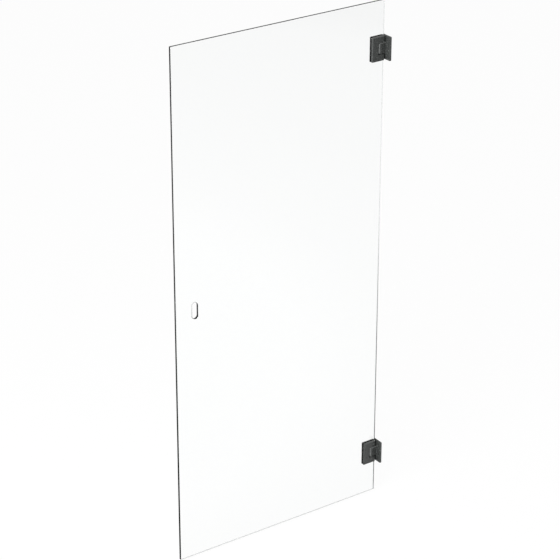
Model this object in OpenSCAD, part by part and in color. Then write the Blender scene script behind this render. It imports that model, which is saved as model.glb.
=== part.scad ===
// Frameless shower door: one glass pane hung on two glass clamp hinges.
// The wall plane is x = 0, the pane runs towards -X, its front faces -Y and +Z is up.
// The origin is where the pane's mid plane meets the wall, level with the lower hinge.

/* [Pane] */
// Width of the pane
glass_w = 900; // [600:10:1100]
// Height of the pane
glass_h = 2000; // [1600:10:2400]
// Thickness of the pane
glass_t = 10; // [6:1:12]
// Radius of the pane's four corners
glass_corner_r = 2; // [1.5:0.5:20]
// Width of the ground arris along the pane's edges
glass_arris = 0.8; // [0.3:0.1:1.4]

/* [Finger hole] */
// Width of the finger hole
grip_w = 24; // [20:1:45]
// Height of the finger hole
grip_h = 64; // [50:1:160]
// Finger hole's centre from the pane's free edge
grip_in = 81; // [50:1:150]
// Finger hole's centre from the pane's bottom edge
grip_up = 1005; // [800:5:1200]

/* [Hinge places] */
// Middle of the upper hinge from the pane's top edge
upper_hinge_in = 177; // [100:1:400]
// Middle of the lower hinge from the pane's bottom edge
lower_hinge_in = 175; // [100:1:400]

/* [Clamps] */
// Width of a clamp plate, from the pane's hinge edge inwards
clamp_w = 57; // [52:1:80]
// Height of a clamp plate
clamp_h = 95; // [84:1:120]
// Thickness of a clamp plate
clamp_t = 6; // [5:0.5:8]
// Radius of a clamp plate's corners
clamp_corner_r = 4.2; // [3.8:0.1:8]
// Bevel round the outer edge of the clamp plates
clamp_bevel = 3.6; // [0.5:0.1:4]
// Thickness of a gasket between clamp and glass
gasket_t = 1; // [0.5:0.25:2]
// How far a gasket stays back from the clamp's edge
gasket_inset = 0.6; // [0.2:0.2:2]

/* [Hinge cut-out] */
// Height of the lugs that hold the ends of a pin
lug_h = 5.8; // [5:0.2:9]
// Width of the web between the notch and the glass
web_w = 11; // [9:0.2:13]
// Radius of the two round ears of the glass cut-out
ear_r = 8; // [6:0.5:9]
// How far an ear's centre lies inside the end of the cut-out
ear_in = 3; // [2:0.5:5]
// How far an ear's centre lies inside the side of the cut-out
ear_drop = 4; // [2:0.5:6]
// Distance between the two clamp screws in the web
web_screw_pitch = 18; // [12:1:26]

/* [Pivot] */
// Pin axis from the pane's hinge edge
pivot_in = 18; // [16:0.5:22]
// Height of a pivot block
block_h = 41; // [38:0.5:46]
// Bevel along the top and bottom edges of a pivot block
block_bevel = 2.6; // [0.5:0.1:3.5]
// Diameter of a pin where it turns in its bushes
pin_d = 8; // [6:0.5:9]
// Diameter of the cam in the middle of a pin
cam_d = 11.9; // [10:0.1:13]
// Distance across the cam's four flats
cam_flats = 10.4; // [9:0.1:11]
// Depth of the flat at each end of a pin
pin_flat = 0.5; // [0.3:0.1:1]
// Length of a bush in the block's bore
bush_l = 6; // [4:0.5:7]
// Diameter of a bush's flange
bush_flange_d = 15; // [13.5:0.5:16]
// Thickness of a bush's flange
bush_flange_t = 1; // [0.8:0.1:2]

/* [Detent] */
// Diameter of a detent plunger
plunger_d = 7; // [6:0.5:8]
// Length of a detent plunger's head
plunger_l = 5.5; // [4:0.5:6]
// Distance between the two plungers of a hinge
plunger_pitch = 11; // [10:0.5:12]
// Diameter of the spigot that guides a spring
spigot_d = 3.2; // [2.6:0.1:3.4]
// Length of the spigot
spigot_l = 3; // [2:0.5:4]
// Outer diameter of a detent spring
spring_d = 6; // [5.6:0.1:6.6]
// Diameter of the spring's wire
wire_d = 1.1; // [0.8:0.1:1.2]
// Number of turns of a detent spring
spring_turns = 3; // [2:0.5:3.5]

/* [Wall plate] */
// Width of a wall plate, from the clamp's rear face to the front end of its arm
wall_plate_w = 49; // [45:1:60]
// Height of a wall plate
wall_plate_h = 90; // [80:1:120]
// Thickness of a wall plate
wall_plate_t = 7; // [5:0.5:10]
// Radius of a wall plate's corners
wall_plate_corner_r = 3; // [2:0.5:8]
// Bevel round the outer edge of a wall plate
wall_plate_bevel = 1.5; // [0.5:0.1:1.8]
// Number of fixing holes in a wall plate
fixing_count = 3; // [2:1:3]
// Distance between neighbouring fixing holes
fixing_pitch = 30; // [25:1:34]
// Diameter of a fixing hole
fixing_d = 5.5; // [4:0.5:6.5]
// Diameter of a fixing hole's countersink
fixing_head_d = 11; // [9:0.5:12]
// Diameter of a cap over a fixing screw
cap_d = 13; // [12.4:0.1:15]
// Thickness of a cap
cap_t = 1; // [0.6:0.1:1.2]

/* [Screws] */
// Thread diameter of the screws that hold a block on its wall plate
block_screw_d = 5; // [4:0.5:5.5]
// Length of these screws
block_screw_l = 16; // [14:1:20]
// Distance between the two screws of a block
block_screw_pitch = 29; // [27:0.5:31]
// Thread diameter of the clamp screws
clamp_screw_d = 5; // [4:0.5:6]
// Length of a clamp screw
clamp_screw_l = 16; // [12:1:18]
// Thread diameter of the screws that lock a pin
lock_screw_d = 5; // [4:0.5:5]

/* [Clearances] */
// Between the turning clamps and the wall plate
swing_clear = 0.7; // [0.3:0.1:3]
// Between a clamp's notch and the round end of the block
notch_clear = 0.6; // [0.3:0.1:2]
// Above and below the bushes' flanges
end_play = 0.2; // [0.1:0.05:0.5]
// Radial, where a pin turns
running_clear = 0.05; // [0.02:0.01:0.1]
// Radial, where a piece is pushed or screwed into its seat
seat_clear = 0.03; // [0.01:0.01:0.1]
// Between a clamp's boss and the edge of the glass cut-out
glass_clear = 1; // [0.5:0.25:2]
// Between the boss and the rear clamp, so that the gaskets take the load
boss_relief = 0.3; // [0.1:0.1:0.6]
// Between a plunger and the round of the cam
plunger_clear = 0.15; // [0.05:0.05:0.3]
// Between a screw's shank and the side of the hole that it passes through
hole_clear = 0.2; // [0.1:0.05:0.5]
// Between a screw's head and its countersink
head_clear = 0.1; // [0.05:0.05:0.3]
// How far the head of a screw lies below its face
head_sink = 0.2; // [0.1:0.1:0.5]

/* [Hidden] */
$fn = 48;

// Length that a cutting shape runs on past the face it cuts
past = 1;
METAL = [0.27, 0.28, 0.28];
STEEL = [0.62, 0.63, 0.64];
POLYMER = [0.12, 0.12, 0.12];
ACETAL = [0.10, 0.10, 0.10];
GLASS = [0.80, 0.90, 0.88, 0.35];

// Layers of a hinge, outwards from the pane's mid plane
gasket_y = glass_t / 2;
plate_y = gasket_y + gasket_t;
face_y = plate_y + clamp_t;

// Places along x, from the pin axis
edge_x = pivot_in;
swing_r = max(norm([pivot_in, face_y - clamp_bevel]), norm([pivot_in - clamp_bevel, face_y]));
arm_x = swing_r + swing_clear;
wall_x = arm_x + wall_plate_t;
notch_x = -(face_y + notch_clear);
cutout_x = notch_x - web_w - glass_clear;
ear_x = cutout_x + ear_in;

// Heights, from the middle of the hinge
block_z = block_h / 2;
notch_z = block_z + bush_flange_t + end_play;
lug_z = notch_z + lug_h;
cutout_z = lug_z + glass_clear;
ear_z = cutout_z - ear_drop;
pin_z = lug_z;
notch_corner_r = 2;

// Bores and what turns or slides in them
bore_d = cam_d + 2 * running_clear;
cam_l = block_h - 2 * bush_l - 2 * end_play;
plunger_x = cam_d / 2 + plunger_clear;
spring_x = plunger_x + plunger_l;
spring_l = arm_x - spring_x - 2 * seat_clear;
lock_z = (notch_z + lug_z) / 2;
web_screw_x = notch_x - web_w / 2;
SCREW_PLACES = [for (side = [-1, 1]) for (place = [[ear_x, ear_z], [web_screw_x, web_screw_pitch / 2]])
    [place[0], side * place[1]]];

// The pane, measured from the pin axis
pane_x = edge_x - glass_w;
upper_z = glass_h - upper_hinge_in - lower_hinge_in;

// Head, and width and depth of the hexagon socket, of a countersunk screw by its thread
function head_d(thread) = 2 * thread;
function socket_d(thread) = 0.7 * thread;
function socket_h(thread) = 0.45 * thread;

// Turns a shape drawn in x and y so that it stands, with its own +Z to the front
module stand() { rotate([90, 0, 0]) children(); }

// Stands a shape against the wall, with its own +X to the front and +Z away from the wall
module on_wall() { translate([wall_x, 0, 0]) rotate([90, 0, -90]) children(); }

// Points a shape's own +Z along x, away from the pin towards the wall
module towards_wall() { rotate([0, 90, 0]) children(); }

// Puts a hinge piece, drawn about its pin axis, at its height on the wall
module at_height(z) { translate([-wall_x, 0, z]) children(); }

// Puts two copies of a shape above and below the hinge's middle
module pair(z) { for (side = [-1, 1]) translate([0, 0, side * z]) children(); }

module rounded_rect(w, h, r) {
    square([w, h - 2 * r], center = true);
    square([w - 2 * r, h], center = true);
    for (x = [-1, 1], y = [-1, 1]) translate([x * (w / 2 - r), y * (h / 2 - r)]) circle(r);
}

// Top layer of a rounded plate, where its edge slopes inwards
module bevel_layer(w, h, r, bevel) {
    rotate([90, 0, 0]) linear_extrude(h - 2 * r, center = true) slope_profile(w, bevel);
    rotate([90, 0, 90]) linear_extrude(w - 2 * r, center = true) slope_profile(h, bevel);
    for (x = [-1, 1], y = [-1, 1])
        translate([x * (w / 2 - r), y * (h / 2 - r), 0]) cylinder(bevel, r, r - bevel);
}

module slope_profile(w, bevel) {
    polygon([[-w / 2, 0], [w / 2, 0], [w / 2 - bevel, bevel], [-w / 2 + bevel, bevel]]);
}

// Rounded plate that stands on z = 0, with its upper edge bevelled
module bevelled_plate(w, h, t, r, bevel) {
    linear_extrude(t - bevel) rounded_rect(w, h, r);
    translate([0, 0, t - bevel]) bevel_layer(w, h, r, bevel);
}

module countersunk_screw(thread, length) {
    head_h = (head_d(thread) - thread) / 2;
    difference() {
        union() {
            cylinder(head_h, head_d(thread) / 2, thread / 2);
            translate([0, 0, head_h]) cylinder(length - head_h, d = thread - 2 * seat_clear);
        }
        translate([0, 0, -past]) cylinder(past + socket_h(thread), d = socket_d(thread), $fn = 6);
    }
}

// Room for such a screw: its countersink, then a clear hole of the given depth
module countersink(thread, depth) {
    head_h = (head_d(thread) - thread) / 2;
    translate([0, 0, -past]) cylinder(past + head_sink, d = head_d(thread) + 2 * head_clear);
    translate([0, 0, head_sink])
        cylinder(head_h + head_clear, head_d(thread) / 2 + head_clear, thread / 2);
    cylinder(depth, d = thread + 2 * hole_clear);
}

// Opening of the glass round a hinge, or the boss inside it when drawn smaller
module cutout_outline(shrink, end_x) {
    translate([cutout_x + shrink, -cutout_z + shrink])
        square([end_x - cutout_x - shrink, 2 * (cutout_z - shrink)]);
    for (side = [-1, 1]) translate([ear_x, side * ear_z]) circle(ear_r - shrink);
}

// Space in the clamps for the pivot block and the flanges of its bushes
module notch_outline() {
    r = notch_corner_r;
    translate([notch_x, -notch_z + r]) square([edge_x + past - notch_x, 2 * (notch_z - r)]);
    translate([notch_x + r, -notch_z]) square([edge_x + past - notch_x - r, 2 * notch_z]);
    for (side = [-1, 1]) translate([notch_x + r, side * (notch_z - r)]) circle(r);
}

module clamp_plate() {
    translate([edge_x - clamp_w / 2, 0, plate_y])
        bevelled_plate(clamp_w, clamp_h, clamp_t, clamp_corner_r, clamp_bevel);
}

module finger_hole() {
    straight = grip_h - grip_w;
    flare = grip_w + 2 * glass_arris;
    for (side = [-1, 1]) translate([0, side * straight / 2, 0]) {
        cylinder(glass_t + 2 * past, d = grip_w, center = true);
        for (face = [0, 1]) mirror([0, 0, face]) translate([0, 0, glass_t / 2 - glass_arris])
            cylinder(glass_arris + past, grip_w / 2, flare / 2 + past);
    }
    cube([grip_w, straight, glass_t + 2 * past], center = true);
    for (face = [0, 1]) mirror([0, 0, face]) translate([0, 0, glass_t / 2])
        rotate([90, 0, 0]) linear_extrude(straight, center = true)
            polygon([[-grip_w / 2, -glass_arris], [grip_w / 2, -glass_arris],
                [flare / 2 + past, past], [-flare / 2 - past, past]]);
}

module glass_panel() {
    color(GLASS) translate([-wall_x, 0, 0]) stand() difference() {
        translate([pane_x + glass_w / 2, glass_h / 2 - lower_hinge_in, 0])
            for (face = [0, 1]) mirror([0, 0, face])
                bevelled_plate(glass_w, glass_h, glass_t / 2, glass_corner_r, glass_arris);
        for (z = [0, upper_z]) translate([0, z, 0])
            linear_extrude(glass_t + 2 * past, center = true) cutout_outline(0, edge_x + past);
        translate([pane_x + grip_in, grip_up - lower_hinge_in, 0]) finger_hole();
    }
}

module wall_plate() {
    arm_mid = wall_plate_w / 2 - face_y;
    color(METAL) on_wall() difference() {
        translate([arm_mid, 0, 0])
            bevelled_plate(wall_plate_w, wall_plate_h, wall_plate_t, wall_plate_corner_r,
                wall_plate_bevel);
        fixing_places() fixing_hole();
        for (side = [-1, 1]) translate([0, side * block_screw_pitch / 2, 0])
            countersink(block_screw_d, wall_plate_t + past);
    }
}

// Fixing holes stand in a line up the middle of the arm's free part
module fixing_places() {
    for (i = [0 : fixing_count - 1])
        translate([wall_plate_w / 2, (i - (fixing_count - 1) / 2) * fixing_pitch, 0]) children();
}

// Hole, countersink and the shallow recess for a cap, from the wall outwards
module fixing_hole() {
    sink_h = (fixing_head_d - fixing_d) / 2;
    translate([0, 0, -past]) cylinder(wall_plate_t + 2 * past, d = fixing_d);
    translate([0, 0, wall_plate_t - cap_t - sink_h])
        cylinder(sink_h, fixing_d / 2, fixing_head_d / 2);
    translate([0, 0, wall_plate_t - cap_t]) cylinder(cap_t + past, d = cap_d + 2 * seat_clear);
}

module screw_caps() {
    rim = 0.2;
    color(METAL) on_wall() fixing_places() translate([0, 0, wall_plate_t - cap_t]) {
        cylinder(cap_t - rim, d = cap_d);
        translate([0, 0, cap_t - rim]) cylinder(rim, cap_d / 2, cap_d / 2 - rim);
    }
}

// Plan of the block: round about the pin, straight to the wall plate
module pivot_block() {
    r = face_y;
    b = block_bevel;
    z = block_z;
    color(METAL) difference() {
        union() {
            rotate([0, 0, 90]) rotate_extrude(angle = 180)
                polygon([[0, -z], [r - b, -z], [r, b - z], [r, z - b], [r - b, z], [0, z]]);
            rotate([90, 0, 90]) linear_extrude(arm_x)
                polygon([[b - r, -z], [r - b, -z], [r, b - z], [r, z - b],
                    [r - b, z], [b - r, z], [-r, z - b], [-r, b - z]]);
        }
        cylinder(block_h + 2 * past, d = bore_d, center = true);
        pair(plunger_pitch / 2) towards_wall()
            cylinder(arm_x + past, d = plunger_d + 2 * running_clear);
        pair(block_screw_pitch / 2) towards_wall()
            translate([0, 0, wall_x - head_sink - block_screw_l - past])
                cylinder(block_screw_l, d = block_screw_d);
    }
}

module block_screws() {
    color(STEEL) pair(block_screw_pitch / 2) translate([wall_x - head_sink, 0, 0])
        mirror([1, 0, 0]) towards_wall() countersunk_screw(block_screw_d, block_screw_l);
}

module pin_bushes() {
    r = bore_d / 2 - seat_clear;
    inner_r = pin_d / 2 + running_clear;
    color(ACETAL) for (side = [0, 1]) mirror([0, 0, side]) translate([0, 0, block_z])
        rotate_extrude() polygon([[inner_r, -bush_l], [r, -bush_l], [r, 0],
            [bush_flange_d / 2, 0], [bush_flange_d / 2, bush_flange_t], [inner_r, bush_flange_t]]);
}

module detent_plungers() {
    nose = 0.5;
    r = plunger_d / 2;
    color(STEEL) pair(plunger_pitch / 2) towards_wall() translate([0, 0, plunger_x])
        rotate_extrude() polygon([[0, 0], [r - nose, 0], [r, nose], [r, plunger_l],
            [spigot_d / 2, plunger_l], [spigot_d / 2, plunger_l + spigot_l], [0, plunger_l + spigot_l]]);
}

// Round wire wound on a helix, as rings of points joined by triangles
module coil(coil_d, wire, length, turns) {
    sides = 8;
    rings = round(16 * turns);
    r = (coil_d - wire) / 2;
    rise = length - wire;
    slope = atan2(rise / turns, 2 * PI * r);
    function ring_point(i, k) = let (
        a = 360 * turns * i / rings,
        b = 360 * k / sides,
        out = r + wire / 2 * cos(b),
        up = wire / 2 * sin(b))
        [out * cos(a) + up * sin(slope) * sin(a), out * sin(a) - up * sin(slope) * cos(a),
            wire / 2 + rise * i / rings + up * cos(slope)];
    function at(i, k) = i * sides + k % sides;
    polyhedron(
        [for (i = [0 : rings]) for (k = [0 : sides - 1]) ring_point(i, k)],
        concat(
            [for (i = [0 : rings - 1]) for (k = [0 : sides - 1]) each
                [[at(i, k), at(i, k + 1), at(i + 1, k)], [at(i, k + 1), at(i + 1, k + 1), at(i + 1, k)]]],
            [for (k = [1 : sides - 2]) each
                [[at(0, 0), at(0, k + 1), at(0, k)], [at(rings, 0), at(rings, k), at(rings, k + 1)]]]));
}

module detent_springs() {
    color(STEEL) pair(plunger_pitch / 2) towards_wall() translate([0, 0, spring_x + seat_clear])
        coil(spring_d, wire_d, spring_l, spring_turns);
}

// Pin with four flats in the middle for the plungers and one at each end for a lock screw
module pivot_pin() {
    color(STEEL) difference() {
        union() {
            cylinder(2 * pin_z, d = pin_d, center = true);
            intersection() {
                cylinder(cam_l, d = cam_d, center = true);
                cube([cam_flats, cam_flats, cam_l], center = true);
            }
        }
        pair(pin_z) translate([-pin_d / 2, pin_d / 2 - pin_flat, -lug_h])
            cube([pin_d, pin_flat + past, 2 * lug_h]);
    }
}

module front_clamp() {
    boss_l = 2 * plate_y - boss_relief;
    color(METAL) stand() difference() {
        union() {
            clamp_plate();
            translate([0, 0, plate_y - boss_l]) linear_extrude(boss_l)
                cutout_outline(glass_clear, edge_x - glass_clear);
        }
        linear_extrude(2 * face_y + 2 * past, center = true) notch_outline();
        for (place = SCREW_PLACES) translate([place[0], place[1], -face_y])
            cylinder(clamp_screw_l + past, d = clamp_screw_d);
        saddle();
    }
}

// Open seat across the lugs for the ends of the pin
module saddle() {
    r = pin_d / 2 + running_clear;
    rotate([90, 0, 0]) cylinder(2 * cutout_z + 2 * past, r = r, center = true);
    translate([-r, -cutout_z - past, -plate_y - past])
        cube([2 * r, 2 * cutout_z + 2 * past, plate_y + past]);
}

module rear_clamp() {
    color(METAL) stand() difference() {
        mirror([0, 0, 1]) clamp_plate();
        linear_extrude(2 * face_y + 2 * past, center = true) notch_outline();
        for (place = SCREW_PLACES) translate([place[0], place[1], -face_y])
            countersink(clamp_screw_d, clamp_t + past);
        for (side = [-1, 1]) translate([0, side * lock_z, -face_y - past])
            cylinder(clamp_t + 2 * past, d = lock_screw_d);
    }
}

module gasket() {
    color(POLYMER) stand() difference() {
        translate([edge_x - clamp_w / 2, 0, gasket_y]) linear_extrude(gasket_t)
            rounded_rect(clamp_w - 2 * gasket_inset, clamp_h - 2 * gasket_inset, clamp_corner_r);
        linear_extrude(face_y) cutout_outline(0, edge_x + past);
    }
}

module front_gasket() { gasket(); }

module rear_gasket() { mirror([0, 1, 0]) gasket(); }

module clamp_screws() {
    color(STEEL) stand() for (place = SCREW_PLACES)
        translate([place[0], place[1], head_sink - face_y])
            countersunk_screw(clamp_screw_d, clamp_screw_l);
}

module lock_screws() {
    tip = pin_d / 2 - pin_flat + seat_clear;
    length = face_y - head_sink - tip;
    color(STEEL) stand() for (side = [-1, 1]) translate([0, side * lock_z, -face_y + head_sink])
        difference() {
            cylinder(length, d = lock_screw_d - 2 * seat_clear);
            translate([0, 0, -past])
                cylinder(past + socket_h(lock_screw_d), d = socket_d(lock_screw_d), $fn = 6);
        }
}

glass_panel();
at_height(upper_z) wall_plate();  // upper_wall_plate
at_height(upper_z) screw_caps();  // upper_screw_caps
at_height(upper_z) pivot_block();  // upper_pivot_block
at_height(upper_z) block_screws();  // upper_block_screws
at_height(upper_z) pin_bushes();  // upper_pin_bushes
at_height(upper_z) detent_plungers();  // upper_detent_plungers
at_height(upper_z) detent_springs();  // upper_detent_springs
at_height(upper_z) pivot_pin();  // upper_pivot_pin
at_height(upper_z) front_clamp();  // upper_front_clamp
at_height(upper_z) rear_clamp();  // upper_rear_clamp
at_height(upper_z) front_gasket();  // upper_front_gasket
at_height(upper_z) rear_gasket();  // upper_rear_gasket
at_height(upper_z) clamp_screws();  // upper_clamp_screws
at_height(upper_z) lock_screws();  // upper_lock_screws
at_height(0) wall_plate();  // lower_wall_plate
at_height(0) screw_caps();  // lower_screw_caps
at_height(0) pivot_block();  // lower_pivot_block
at_height(0) block_screws();  // lower_block_screws
at_height(0) pin_bushes();  // lower_pin_bushes
at_height(0) detent_plungers();  // lower_detent_plungers
at_height(0) detent_springs();  // lower_detent_springs
at_height(0) pivot_pin();  // lower_pivot_pin
at_height(0) front_clamp();  // lower_front_clamp
at_height(0) rear_clamp();  // lower_rear_clamp
at_height(0) front_gasket();  // lower_front_gasket
at_height(0) rear_gasket();  // lower_rear_gasket
at_height(0) clamp_screws();  // lower_clamp_screws
at_height(0) lock_screws();  // lower_lock_screws
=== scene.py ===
"""Frameless shower door: the looks of one clear pane and its two black clamp hinges."""

import math

import bpy
from mathutils import Matrix

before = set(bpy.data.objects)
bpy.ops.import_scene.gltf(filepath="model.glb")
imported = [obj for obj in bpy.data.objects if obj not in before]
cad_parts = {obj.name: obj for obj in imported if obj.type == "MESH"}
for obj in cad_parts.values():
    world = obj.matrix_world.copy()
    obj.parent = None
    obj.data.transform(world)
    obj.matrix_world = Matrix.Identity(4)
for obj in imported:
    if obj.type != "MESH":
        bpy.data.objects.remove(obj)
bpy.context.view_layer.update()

MM = 0.001
WHITE = "#ffffff"


# Helpers

def srgb(code):
    """Linear colour with full alpha for an sRGB hex code such as "#2b2c2c"."""
    parts = [int(code[i:i + 2], 16) / 255 for i in (1, 3, 5)]
    return [c / 12.92 if c <= 0.04045 else ((c + 0.055) / 1.055) ** 2.4 for c in parts] + [1.0]


def grey(level):
    """Linear grey with full alpha; level 1 is white."""
    return [level, level, level, 1.0]


def add_node(tree, kind, values=None, links=None, **settings):
    """Adds a node of a kind, sets its settings and socket values, and links sockets to it."""
    node = tree.nodes.new(kind)
    for name, value in settings.items():
        setattr(node, name, value)
    for socket, value in (values or {}).items():
        node.inputs[socket].default_value = value
    for socket, source in (links or {}).items():
        tree.links.new(source, node.inputs[socket])
    return node


def fill_ramp(node, stops):
    """Gives a colour ramp its stops, from pairs of a position and a colour."""
    elements = node.color_ramp.elements
    while len(elements) < len(stops):
        elements.new(0.5)
    for element, (position, colour) in zip(elements, stops):
        element.position = position
        element.color = colour


def new_material(name):
    """An empty material with its output node; returns the material, its tree and the output."""
    material = bpy.data.materials.new(name)
    material.use_nodes = True
    tree = material.node_tree
    tree.nodes.clear()
    return material, tree, add_node(tree, "ShaderNodeOutputMaterial")


def finish_material(tree, output, shader, volume=None):
    """Links the shader to the material's output, and what fills the piece if anything does."""
    tree.links.new(shader.outputs[0], output.inputs["Surface"])
    if volume:
        tree.links.new(volume.outputs[0], output.inputs["Volume"])


# Materials

# A face of the pane has |normal Y| 1: a surface starts to count as edge below the first value
# and counts in full below the second. The top edge is told by its normal Z, which grows from
# the first value to the second.
EDGE_FROM, EDGE_FULL = 0.98, 0.80
TOP_FROM, TOP_FULL = 0.3, 0.9
# Painted edge shade: none above the first height in metres, full below the second
EDGE_SHADE_FROM_Z, EDGE_SHADE_FULL_Z = 1.3, 0.5
EDGE_SHADE_TINT = "#7d8784"


def float_glass():
    """Clear toughened float glass: flat bright faces, ground and polished edges that look dark.

    The faces mirror the room a little. An edge is seen through the pane's whole width, so it is
    darker. The top edge is left untinted, and the other edges carry a painted shade that grows
    darker towards the bottom. Iron in the glass gives it a weak green."""
    material, tree, output = new_material("toughened_float_glass")
    place = add_node(tree, "ShaderNodeTexCoord")
    turned = add_node(tree, "ShaderNodeSeparateXYZ", links={"Vector": place.outputs["Normal"]})
    facing = add_node(tree, "ShaderNodeMath", links={0: turned.outputs["Y"]},
                      operation="ABSOLUTE")
    edge = add_node(tree, "ShaderNodeMapRange", {"From Min": EDGE_FROM, "From Max": EDGE_FULL},
                    {"Value": facing.outputs[0]})
    upward = add_node(tree, "ShaderNodeMapRange", {"From Min": TOP_FROM, "From Max": TOP_FULL},
                      {"Value": turned.outputs["Z"]})
    spot = add_node(tree, "ShaderNodeSeparateXYZ", links={"Vector": place.outputs["Object"]})
    edge_shade_mask = add_node(tree, "ShaderNodeMapRange", {"From Min": EDGE_SHADE_FROM_Z, "From Max": EDGE_SHADE_FULL_Z},
                   {"Value": spot.outputs["Z"]})
    # Painted shade: the side and bottom edges are tinted darker towards the bottom
    film = add_node(tree, "ShaderNodeMix", {"A": srgb(WHITE), "B": srgb(EDGE_SHADE_TINT)},
                    {"Factor": edge_shade_mask.outputs[0]}, data_type="RGBA")
    shaded_edge = add_node(tree, "ShaderNodeMix", {"B": srgb(WHITE)},
                         {"Factor": upward.outputs[0], "A": film.outputs["Result"]},
                         data_type="RGBA")
    colour = add_node(tree, "ShaderNodeMix", {"A": srgb(WHITE)},
                      {"Factor": edge.outputs[0], "B": shaded_edge.outputs["Result"]},
                      data_type="RGBA")
    # Grinding marks run together into patches of about 3 mm
    grain = add_node(tree, "ShaderNodeTexNoise", {"Scale": 1 / (3.0 * MM), "Detail": 1.0},
                     {"Vector": place.outputs["Object"]})
    ground = add_node(tree, "ShaderNodeMapRange", {"To Min": 0.08, "To Max": 0.16},
                      {"Value": grain.outputs["Fac"]})
    rough = add_node(tree, "ShaderNodeMath", links={0: edge.outputs[0], 1: ground.outputs[0]},
                     operation="MULTIPLY")
    shader = add_node(tree, "ShaderNodeBsdfPrincipled",
                      {"IOR": 1.52, "Transmission Weight": 1.0},
                      {"Base Color": colour.outputs["Result"], "Roughness": rough.outputs[0]})
    iron_green = add_node(tree, "ShaderNodeVolumeAbsorption",
                          {"Color": srgb("#93e6cf"), "Density": 1.2})
    finish_material(tree, output, shader, iron_green)
    return material


# Painted highlight by |normal Y|: a round or a bevel lies between a side and a face
HIGHLIGHT_STOPS = ((0.0, grey(0)), (0.15, grey(0)), (0.35, grey(1)), (0.85, grey(1)), (0.97, grey(0)))


def powder_coat(name, highlight_tint=None):
    """Semi-gloss black powder coat on brass: baked powder flows out to a fine orange peel, so the
    dark grey faces mirror the room softly and the bevels catch the light as pale lines.

    With a highlight tint, the coat is painted paler where the surface turns away from its flat
    faces, on rounds and bevels: a painted highlight."""
    material, tree, output = new_material(name)
    place = add_node(tree, "ShaderNodeTexCoord")
    # A real orange peel is about 1 mm across
    peel = add_node(tree, "ShaderNodeTexNoise", {"Scale": 1 / (1.2 * MM), "Detail": 2.0},
                    {"Vector": place.outputs["Object"]})
    bump = add_node(tree, "ShaderNodeBump", {"Strength": 0.12, "Distance": 0.04 * MM},
                    {"Height": peel.outputs["Fac"]})
    # The film's thickness wanders over about 18 mm, and its grey and gloss with it
    cloud = add_node(tree, "ShaderNodeTexNoise", {"Scale": 1 / (18 * MM), "Detail": 3.0},
                     {"Vector": place.outputs["Object"]})
    film = add_node(tree, "ShaderNodeValToRGB", links={"Fac": cloud.outputs["Fac"]})
    fill_ramp(film, ((0.35, srgb("#313332")), (0.65, srgb("#353736"))))
    colour = film.outputs["Color"]
    if highlight_tint:
        # Painted highlight: rounds and bevels get a paler colour by their normal
        turned = add_node(tree, "ShaderNodeSeparateXYZ", links={"Vector": place.outputs["Normal"]})
        facing = add_node(tree, "ShaderNodeMath", links={0: turned.outputs["Y"]},
                          operation="ABSOLUTE")
        wear = add_node(tree, "ShaderNodeValToRGB", links={"Fac": facing.outputs[0]})
        fill_ramp(wear, HIGHLIGHT_STOPS)
        highlighted = add_node(tree, "ShaderNodeMix", {"B": srgb(highlight_tint)},
                           {"Factor": wear.outputs["Color"], "A": colour}, data_type="RGBA")
        colour = highlighted.outputs["Result"]
    rough = add_node(tree, "ShaderNodeMapRange", {"To Min": 0.24, "To Max": 0.32},
                     {"Value": cloud.outputs["Fac"]})
    shader = add_node(tree, "ShaderNodeBsdfPrincipled", {"IOR": 1.5},
                      {"Base Color": colour, "Roughness": rough.outputs[0],
                       "Normal": bump.outputs["Normal"]})
    finish_material(tree, output, shader)
    return material


def black_oxide_screw():
    """Blackened stainless screw: a thin dark film over turned metal, so it glints more than
    paint."""
    material, tree, output = new_material("blackened_stainless_screw")
    place = add_node(tree, "ShaderNodeTexCoord")
    # The film rubs off in patches of about 2.5 mm
    wear = add_node(tree, "ShaderNodeTexNoise", {"Scale": 1 / (2.5 * MM), "Detail": 4.0},
                    {"Vector": place.outputs["Object"]})
    colour = add_node(tree, "ShaderNodeMix", {"A": srgb("#3a3a3b"), "B": srgb("#4b4b4d")},
                      {"Factor": wear.outputs["Fac"]}, data_type="RGBA")
    rough = add_node(tree, "ShaderNodeMapRange", {"To Min": 0.28, "To Max": 0.44},
                     {"Value": wear.outputs["Fac"]})
    shader = add_node(tree, "ShaderNodeBsdfPrincipled", {"Metallic": 0.8},
                      {"Base Color": colour.outputs["Result"], "Roughness": rough.outputs[0]})
    finish_material(tree, output, shader)
    return material


def black_plastic(name, dark, light, smooth, coarse):
    """Black plastic, moulded or turned: an even colour with a fine dull grain. Colours and
    roughnesses are given as the least and the most."""
    material, tree, output = new_material(name)
    place = add_node(tree, "ShaderNodeTexCoord")
    # The real grain is about 0.3 mm; it is drawn three times as coarse, so that it shows
    grain = add_node(tree, "ShaderNodeTexNoise", {"Scale": 1 / (0.9 * MM), "Detail": 2.0},
                     {"Vector": place.outputs["Object"]})
    colour = add_node(tree, "ShaderNodeMix", {"A": srgb(dark), "B": srgb(light)},
                      {"Factor": grain.outputs["Fac"]}, data_type="RGBA")
    rough = add_node(tree, "ShaderNodeMapRange", {"To Min": smooth, "To Max": coarse},
                     {"Value": grain.outputs["Fac"]})
    bump = add_node(tree, "ShaderNodeBump", {"Strength": 0.2, "Distance": 0.03 * MM},
                    {"Height": grain.outputs["Fac"]})
    shader = add_node(tree, "ShaderNodeBsdfPrincipled", {"IOR": 1.48},
                      {"Base Color": colour.outputs["Result"], "Roughness": rough.outputs[0],
                       "Normal": bump.outputs["Normal"]})
    finish_material(tree, output, shader)
    return material


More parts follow.
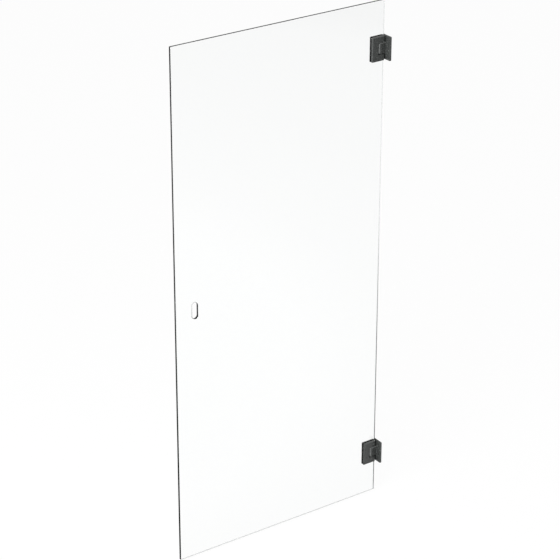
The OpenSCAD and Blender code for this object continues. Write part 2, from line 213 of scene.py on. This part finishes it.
def fibre_rubber():
    """Calendered fibre-filled rubber sheet: dead matt, with pale fibres drawn out along the
    sheet."""
    material, tree, output = new_material("calendered_fibre_rubber")
    place = add_node(tree, "ShaderNodeTexCoord")
    # Real fibres are under 0.1 mm thick. They are drawn 0.4 mm thick, so that they show, and
    # about eight times as long, upright like the sheet
    drawn = add_node(tree, "ShaderNodeMapping", {"Scale": (1.0, 1.0, 0.12)},
                     {"Vector": place.outputs["Object"]})
    fibre = add_node(tree, "ShaderNodeTexNoise", {"Scale": 1 / (0.4 * MM), "Detail": 3.0},
                     {"Vector": drawn.outputs["Vector"]})
    colour = add_node(tree, "ShaderNodeValToRGB", links={"Fac": fibre.outputs["Fac"]})
    fill_ramp(colour, ((0.45, srgb("#191919")), (0.75, srgb("#323231"))))
    bump = add_node(tree, "ShaderNodeBump", {"Strength": 0.4, "Distance": 0.05 * MM},
                    {"Height": fibre.outputs["Fac"]})
    shader = add_node(tree, "ShaderNodeBsdfPrincipled", {"Roughness": 0.85, "IOR": 1.5},
                      {"Base Color": colour.outputs["Color"], "Normal": bump.outputs["Normal"]})
    finish_material(tree, output, shader)
    return material


def stainless_steel(name, dark, light, smooth, coarse, mark_mm, drawn):
    """Bare stainless steel with the fine marks of its making. A mark's width is in millimetres,
    and drawn is its share along X, Y and Z: the smaller the share, the longer the mark."""
    material, tree, output = new_material(name)
    place = add_node(tree, "ShaderNodeTexCoord")
    along = add_node(tree, "ShaderNodeMapping", {"Scale": drawn},
                     {"Vector": place.outputs["Object"]})
    # Real marks are a few hundredths of a millimetre wide; they are drawn wider, so that they show
    marks = add_node(tree, "ShaderNodeTexNoise", {"Scale": 1 / (mark_mm * MM), "Detail": 3.0},
                     {"Vector": along.outputs["Vector"]})
    colour = add_node(tree, "ShaderNodeMix", {"A": srgb(dark), "B": srgb(light)},
                      {"Factor": marks.outputs["Fac"]}, data_type="RGBA")
    rough = add_node(tree, "ShaderNodeMapRange", {"To Min": smooth, "To Max": coarse},
                     {"Value": marks.outputs["Fac"]})
    bump = add_node(tree, "ShaderNodeBump", {"Strength": 0.1, "Distance": 0.02 * MM},
                    {"Height": marks.outputs["Fac"]})
    shader = add_node(tree, "ShaderNodeBsdfPrincipled", {"Metallic": 1.0},
                      {"Base Color": colour.outputs["Result"], "Roughness": rough.outputs[0],
                       "Normal": bump.outputs["Normal"]})
    finish_material(tree, output, shader)
    return material


GLASS = float_glass()
COAT = powder_coat("black_powder_coat")
# Pivot block coat with a painted highlight on its rounds and bevels
HIGHLIGHTED_COAT = powder_coat("black_powder_coat_painted_highlight", "#606261")
CAP = black_plastic("moulded_cap_black", "#2a2b2b", "#313232", 0.30, 0.42)
ACETAL = black_plastic("turned_black_acetal", "#1d1d1e", "#262627", 0.35, 0.50)
RUBBER = fibre_rubber()
BLACK_SCREW = black_oxide_screw()
# Ground round and round, so the marks are narrow upwards and long about the pin
GROUND_PIN = stainless_steel("ground_stainless_pin", "#a9abad", "#c9cbcc", 0.22, 0.34,
                             mark_mm=0.5, drawn=(0.1, 0.1, 1.0))
# Turned on a lathe: rings one after another along the plunger's and the screw's length
TURNED_STEEL = stainless_steel("turned_stainless", "#b0b1b2", "#cccdcd", 0.24, 0.36,
                               mark_mm=0.5, drawn=(1.0, 0.1, 0.1))
# Drawn through a die and coiled about X: dull streaks along the wire
SPRING_WIRE = stainless_steel("drawn_spring_wire", "#8e8f91", "#b4b5b6", 0.30, 0.42,
                              mark_mm=0.4, drawn=(1.0, 0.25, 0.25))

HINGE_FINISHES = {
    "wall_plate": COAT, "pivot_block": HIGHLIGHTED_COAT, "front_clamp": COAT, "rear_clamp": COAT,
    "screw_caps": CAP, "clamp_screws": BLACK_SCREW, "lock_screws": BLACK_SCREW,
    "front_gasket": RUBBER, "rear_gasket": RUBBER, "pin_bushes": ACETAL,
    "pivot_pin": GROUND_PIN, "detent_plungers": TURNED_STEEL, "block_screws": TURNED_STEEL,
    "detent_springs": SPRING_WIRE}
FINISHES = {"glass_panel": GLASS}
for hinge in ("upper", "lower"):
    for piece, finish in HINGE_FINISHES.items():
        FINISHES[f"{hinge}_{piece}"] = finish

for node, finish in FINISHES.items():
    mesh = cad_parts[node].data
    mesh.materials.clear()
    mesh.materials.append(finish)


# Stage: places are in metres, and a level of 1 is white

FLOOR_Z = -0.185
FLOOR_SIZE = 80
# Lit pool in front of the pane: its middle on the floor, and its level by distance from there
POOL_AT = (-1.18, -2.22)
POOL_REACH = 6.0
POOL_LEVELS = ((0.0, 1.0), (1.95, 1.0), (2.45, 0.78), (3.5, 0.60), (4.9, 0.46), (5.4, 0.20))
# Second pool, further left: it starts at the first distance and is full within the second
LEFT_POOL_AT = (-4.2, -4.6)
LEFT_POOL_FROM, LEFT_POOL_FULL, LEFT_POOL_LEVEL = 3.2, 2.2, 0.6
# Floor behind the pane: it brightens from a near level to white between two distances back,
# darkens to the right between two places across, and has a pale strip along the pane's foot
NEAR_Y, FAR_Y, NEAR_LEVEL = 0.8, 2.3, 0.28
DARK_FROM_X, DARK_FULL_X, DARK_LEVEL = -1.5, -0.3, 0.03
FOOT_FROM_Y, FOOT_FULL_Y, FOOT_LEVEL = 0.07, 0.04, 0.3
REAR_FLOOR_IN_HINGE = 0.3
# Share of the floor's look that is plain white; the rest takes the door's shadow
PLAIN_SHARE = 0.96


def ray_kinds(tree):
    """Tells how a ray reaches the stage. Returns the light path itself, whether the camera sees
    the stage straight or through the pane, and whether a surface mirrors it on the way."""
    light = add_node(tree, "ShaderNodeLightPath")
    shown = add_node(tree, "ShaderNodeMath", links={0: light.outputs["Is Camera Ray"],
                     1: light.outputs["Is Transmission Ray"]}, operation="MAXIMUM")
    mirrored = add_node(tree, "ShaderNodeMath", {1: 0.5}, {0: light.outputs["Glossy Depth"]},
                        operation="GREATER_THAN")
    return light, shown, mirrored


def floor_material():
    """White floor that keeps a faint shadow. What the pane and the hinges mirror of it is a studio
    floor as its lamps light it: in front a bright round pool that fades outwards and a second one
    further left, behind a floor that is bright far off and dark on the right and near the pane,
    apart from a narrow pale strip along the pane's foot."""
    material, tree, output = new_material("studio_floor")
    light, shown, mirrored = ray_kinds(tree)
    place = add_node(tree, "ShaderNodeTexCoord")
    spot = add_node(tree, "ShaderNodeSeparateXYZ", links={"Vector": place.outputs["Object"]})

    away = add_node(tree, "ShaderNodeVectorMath", {1: (*POOL_AT, FLOOR_Z)},
                    {0: place.outputs["Object"]}, operation="DISTANCE")
    reach = add_node(tree, "ShaderNodeMath", {1: POOL_REACH}, {0: away.outputs["Value"]},
                     operation="DIVIDE")
    pool = add_node(tree, "ShaderNodeValToRGB", links={"Fac": reach.outputs[0]})
    fill_ramp(pool, [(distance / POOL_REACH, grey(level)) for distance, level in POOL_LEVELS])
    left_away = add_node(tree, "ShaderNodeVectorMath", {1: (*LEFT_POOL_AT, FLOOR_Z)},
                         {0: place.outputs["Object"]}, operation="DISTANCE")
    left_pool = add_node(tree, "ShaderNodeMapRange",
                         {"From Min": LEFT_POOL_FROM, "From Max": LEFT_POOL_FULL,
                          "To Max": LEFT_POOL_LEVEL}, {"Value": left_away.outputs["Value"]})
    front = add_node(tree, "ShaderNodeMath", links={0: pool.outputs["Color"],
                     1: left_pool.outputs[0]}, operation="MAXIMUM")

    deep = add_node(tree, "ShaderNodeMapRange",
                    {"From Min": NEAR_Y, "From Max": FAR_Y, "To Min": NEAR_LEVEL, "To Max": 1.0},
                    {"Value": spot.outputs["Y"]}, interpolation_type="SMOOTHSTEP")
    sideways = add_node(tree, "ShaderNodeMapRange",
                        {"From Min": DARK_FROM_X, "From Max": DARK_FULL_X},
                        {"Value": spot.outputs["X"]})
    open_floor = add_node(tree, "ShaderNodeMix", {"B": DARK_LEVEL},
                          {"Factor": sideways.outputs[0], "A": deep.outputs[0]})
    foot = add_node(tree, "ShaderNodeMapRange",
                    {"From Min": FOOT_FROM_Y, "From Max": FOOT_FULL_Y, "To Max": FOOT_LEVEL},
                    {"Value": spot.outputs["Y"]})
    rear = add_node(tree, "ShaderNodeMath", links={0: open_floor.outputs[0], 1: foot.outputs[0]},
                    operation="MAXIMUM")
    # The glass mirrors the rear floor at its level, the hinges dimmer
    dimmed = add_node(tree, "ShaderNodeMapRange", {"To Min": REAR_FLOOR_IN_HINGE, "To Max": 1.0},
                      {"Value": light.outputs["Is Transmission Ray"]})
    rear_seen = add_node(tree, "ShaderNodeMath", links={0: rear.outputs[0], 1: dimmed.outputs[0]},
                         operation="MULTIPLY")

    behind = add_node(tree, "ShaderNodeMath", {1: 0.0}, {0: spot.outputs["Y"]},
                      operation="GREATER_THAN")
    level = add_node(tree, "ShaderNodeMix", links={"Factor": behind.outputs[0],
                     "A": front.outputs[0], "B": rear_seen.outputs[0]})
    strength = add_node(tree, "ShaderNodeMix", {"A": 1.0},
                        {"Factor": mirrored.outputs[0], "B": level.outputs[0]})
    glow = add_node(tree, "ShaderNodeEmission", links={"Strength": strength.outputs[0]})
    matt = add_node(tree, "ShaderNodeBsdfDiffuse", {"Color": srgb(WHITE)})

    # Seen, it glows apart from the shadow's share; mirrored, it only glows; after a dull bounce
    # it is a matt floor under its lamps
    plain = add_node(tree, "ShaderNodeMath", {1: PLAIN_SHARE}, {0: shown.outputs[0]},
                     operation="MULTIPLY")
    in_gloss = add_node(tree, "ShaderNodeMath", links={0: plain.outputs[0],
                        1: light.outputs["Is Glossy Ray"]}, operation="MAXIMUM")
    in_mirror = add_node(tree, "ShaderNodeMath", links={0: in_gloss.outputs[0],
                         1: mirrored.outputs[0]}, operation="MAXIMUM")
    glow_share = add_node(tree, "ShaderNodeMath", links={0: in_mirror.outputs[0],
                          1: light.outputs["Diffuse Depth"]}, operation="SUBTRACT",
                          use_clamp=True)
    shader = add_node(tree, "ShaderNodeMixShader", links={0: glow_share.outputs[0],
                      1: matt.outputs[0], 2: glow.outputs[0]})
    finish_material(tree, output, shader)
    return material


bpy.ops.object.select_all(action="DESELECT")
bpy.ops.mesh.primitive_plane_add(size=FLOOR_SIZE, location=(0, 0, FLOOR_Z))
floor = bpy.context.object
floor.name = "studio_floor"
bpy.ops.object.transform_apply(location=True, rotation=False, scale=False)
floor.data.materials.append(floor_material())

# A direction counts as the camera's side from the first value of its Y on, in full at the second
SIDE_FROM_Y, SIDE_FULL_Y = 0.25, -0.15
# Levels of the studio as light, and of its rear where a hinge or the glass mirrors it
FRONT_LIGHT, REAR_LIGHT = 0.32, 0.28
REAR_IN_HINGE, REAR_IN_GLASS = 0.35, 0.85


def studio_world():
    """White straight ahead. As light, and where a surface mirrors it, the studio is bright on the
    camera's side and dim behind the pane."""
    world = bpy.data.worlds.new("studio_world")
    bpy.context.scene.world = world
    world.use_nodes = True
    tree = world.node_tree
    tree.nodes.clear()
    output = add_node(tree, "ShaderNodeOutputWorld")
    light, shown, mirrored = ray_kinds(tree)
    place = add_node(tree, "ShaderNodeTexCoord")
    way = add_node(tree, "ShaderNodeSeparateXYZ", links={"Vector": place.outputs["Generated"]})
    front = add_node(tree, "ShaderNodeMapRange",
                     {"From Min": SIDE_FROM_Y, "From Max": SIDE_FULL_Y},
                     {"Value": way.outputs["Y"]})

    lit = add_node(tree, "ShaderNodeMix", {"A": REAR_LIGHT, "B": FRONT_LIGHT},
                   {"Factor": front.outputs[0]})
    rear = add_node(tree, "ShaderNodeMix", {"A": REAR_IN_HINGE, "B": REAR_IN_GLASS},
                    {"Factor": light.outputs["Is Transmission Ray"]})
    glossy = add_node(tree, "ShaderNodeMix", {"B": 1.0},
                      {"Factor": front.outputs[0], "A": rear.outputs[0]})
    unseen = add_node(tree, "ShaderNodeMix", links={"Factor": mirrored.outputs[0],
                      "A": lit.outputs[0], "B": glossy.outputs[0]})

    # Plain white only where nothing mirrors it and no dull surface has scattered the ray
    unmirrored = add_node(tree, "ShaderNodeMath", links={0: shown.outputs[0],
                          1: mirrored.outputs[0]}, operation="SUBTRACT", use_clamp=True)
    straight = add_node(tree, "ShaderNodeMath", links={0: unmirrored.outputs[0],
                        1: light.outputs["Diffuse Depth"]}, operation="SUBTRACT", use_clamp=True)
    strength = add_node(tree, "ShaderNodeMix", {"B": 1.0},
                        {"Factor": straight.outputs[0], "A": unseen.outputs[0]})
    background = add_node(tree, "ShaderNodeBackground", {"Color": srgb(WHITE)},
                          {"Strength": strength.outputs[0]})
    tree.links.new(background.outputs[0], output.inputs["Surface"])


studio_world()

# Round soft lamps: where each hangs, where it points, its width in metres and its power in watts
LAMPS = (
    ("key_lamp", (-3.5, -3.0, 5.5), (-0.4, 0.0, 0.8), 2.5, 120),
    ("side_lamp", (-4.2, -1.4, 2.2), (-0.2, 0.0, 0.9), 3.0, 300),
    ("overhead_lamp", (2.7, -2.2, 4.7), (0.0, 0.0, 0.8), 3.0, 24))

for name, at, towards, size, power in LAMPS:
    lamp = bpy.data.lights.new(name, "AREA")
    lamp.shape = "DISK"
    lamp.size = size
    lamp.energy = power
    holder = bpy.data.objects.new(name, lamp)
    bpy.context.scene.collection.objects.link(holder)
    holder.location = at
    # A lamp shines down its own -Z: it is tilted towards its aim, then turned to it
    aim = [t - a for t, a in zip(towards, at)]
    flat = math.hypot(aim[0], aim[1])
    holder.rotation_euler = (math.atan2(flat, -aim[2]), 0, math.atan2(aim[1], aim[0]) - math.pi / 2)


# Camera: metres, and degrees below the horizon, right of straight ahead and rolled

CAMERA_AT = (-4.5486, -5.776, 4.163)
CAMERA_DOWN, CAMERA_RIGHT, CAMERA_ROLL = 25.089, 35.3035, 0.107
SENSOR_MM, LENS_MM = 36, 138.83

camera = bpy.data.cameras.new("camera")
camera.sensor_width = SENSOR_MM
camera.lens = LENS_MM
camera_holder = bpy.data.objects.new("camera", camera)
bpy.context.scene.collection.objects.link(camera_holder)
turned = (Matrix.Rotation(math.radians(-CAMERA_RIGHT), 4, "Z")
          @ Matrix.Rotation(math.radians(90 - CAMERA_DOWN), 4, "X")
          @ Matrix.Rotation(math.radians(CAMERA_ROLL), 4, "Z"))
camera_holder.matrix_world = Matrix.Translation(CAMERA_AT) @ turned
bpy.context.scene.camera = camera_holder
bpy.context.scene.view_settings.view_transform = "Standard"
